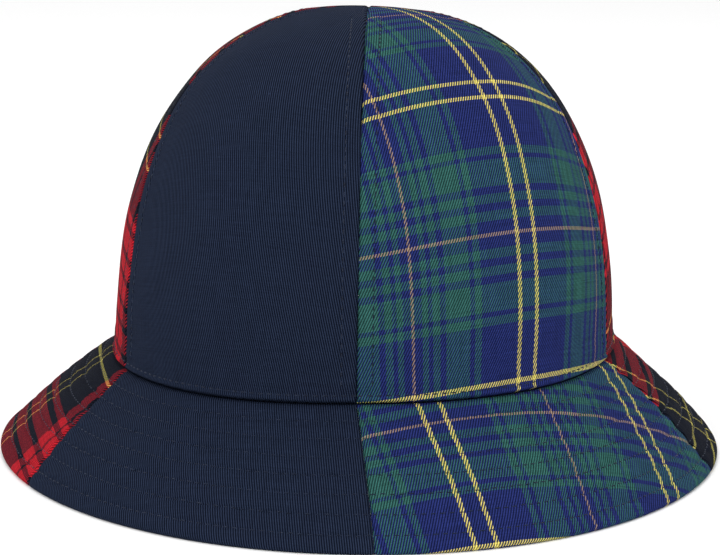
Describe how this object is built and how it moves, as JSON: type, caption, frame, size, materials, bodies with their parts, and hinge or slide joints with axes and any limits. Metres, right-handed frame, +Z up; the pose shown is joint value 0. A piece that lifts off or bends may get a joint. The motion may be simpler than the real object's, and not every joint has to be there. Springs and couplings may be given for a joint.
{
  "type": "bucket hat",
  "caption": "Soft bucket hat with a domed panelled crown and a downturned, row-stitched brim, in patchwork of plain twill and tartan.",
  "frame": {"origin": "middle of the hat's outline, on the surface that the brim's edge rests on", "axes": "+Z up; the front of the hat faces -Y; +X is the wearer's left; +Y is the longer, front-to-back direction"},
  "size_m": [0.2622, 0.2756, 0.1585],
  "materials": {
    "navy_twill": "matt cotton twill, dark navy",
    "blue_green_tartan": "matt twill tartan in blue and green, with paired yellow lines and single tan lines",
    "red_tartan": "matt twill tartan in red, crimson and black, with yellow lines",
    "underbrim_twill": "matt cotton twill, dark navy",
    "lining": "fine plain-weave cotton, navy",
    "stiffener": "matt non-woven interlining, off-white",
    "sweatband": "matt cotton twill tape, navy",
    "thread": "soft-sheen polyester sewing thread, navy",
    "label": "smooth woven satin tape, white, blank"
  },
  "bodies": {
    "root": {"crown_front_left": "blue_green_tartan", "crown_front_right": "navy_twill", "crown_back_left": "red_tartan", "crown_back_right": "red_tartan", "lining_front_left": "lining", "lining_front_right": "lining", "lining_back_left": "lining", "lining_back_right": "lining", "brim_front_left": "blue_green_tartan", "brim_front_right": "navy_twill", "brim_back_left": "red_tartan", "brim_back_right": "red_tartan", "underbrim_front_left": "underbrim_twill", "underbrim_front_right": "underbrim_twill", "underbrim_back_left": "underbrim_twill", "underbrim_back_right": "underbrim_twill", "brim_stiffener": "stiffener", "sweatband": "sweatband", "care_label": "label", "front_seam_stitching": "thread", "back_seam_stitching": "thread", "left_seam_stitching": "thread", "right_seam_stitching": "thread", "crown_base_stitching": "thread", "brim_stitching": "thread", "head_seam_stitching": "thread", "sweatband_stitching": "thread"}
  },
  "joints": []
}
